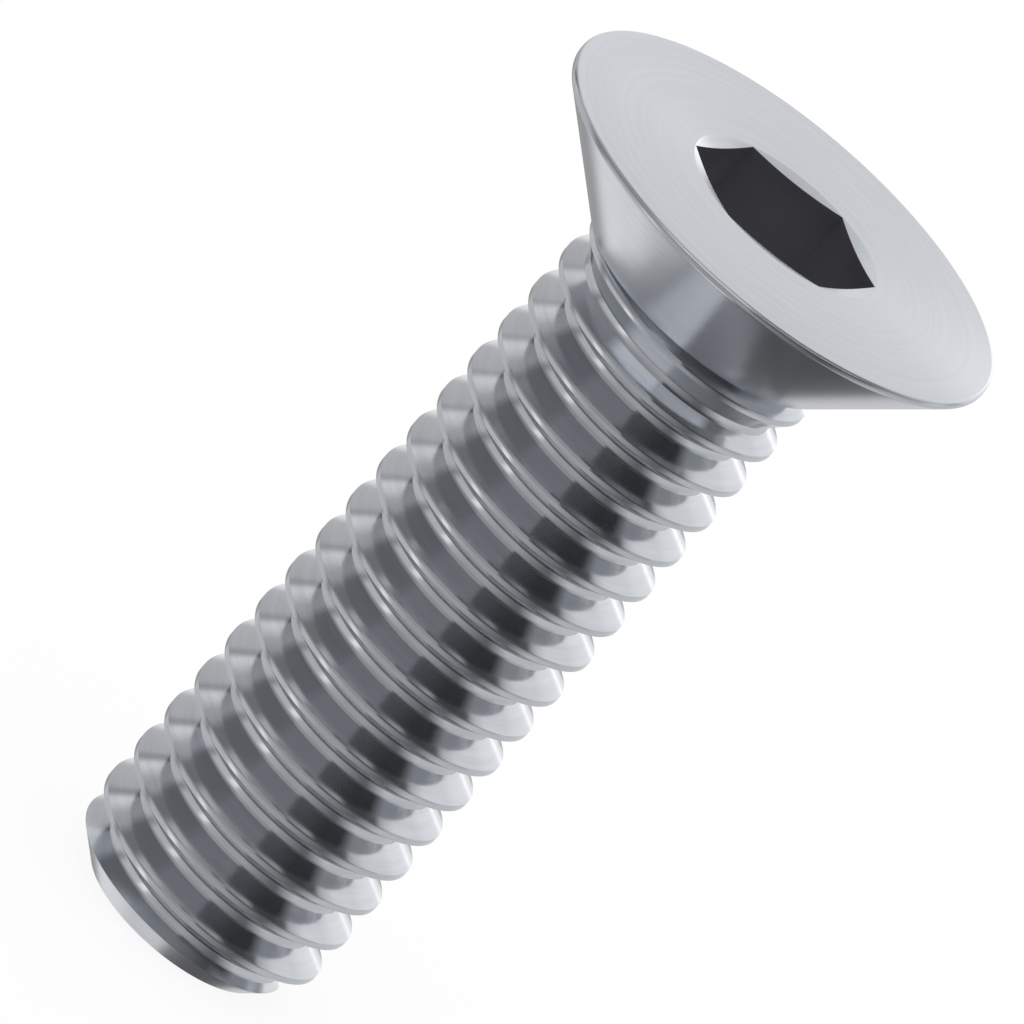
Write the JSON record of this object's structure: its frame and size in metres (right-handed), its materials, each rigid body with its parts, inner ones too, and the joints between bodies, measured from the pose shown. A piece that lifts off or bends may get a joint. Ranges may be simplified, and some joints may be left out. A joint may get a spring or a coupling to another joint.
{
  "type": "countersunk socket screw",
  "caption": "Countersunk machine screw with a flat 90 degree head, a hexagon socket and a left-hand metric thread that runs out under the head.",
  "frame": {"origin": "centre of the flat end of the tip, which the screw stands on", "axes": "+Z along the screw's axis from the tip to the head, -Y the side seen in the front view, the socket's nearest corner 7.7 degrees round from +X"},
  "size_m": [0.0106, 0.0106, 0.0201],
  "materials": {
    "steel": "bright turned steel with fine circular lathe lines"
  },
  "bodies": {
    "root": {"countersunk_socket_screw": "steel"}
  },
  "joints": []
}
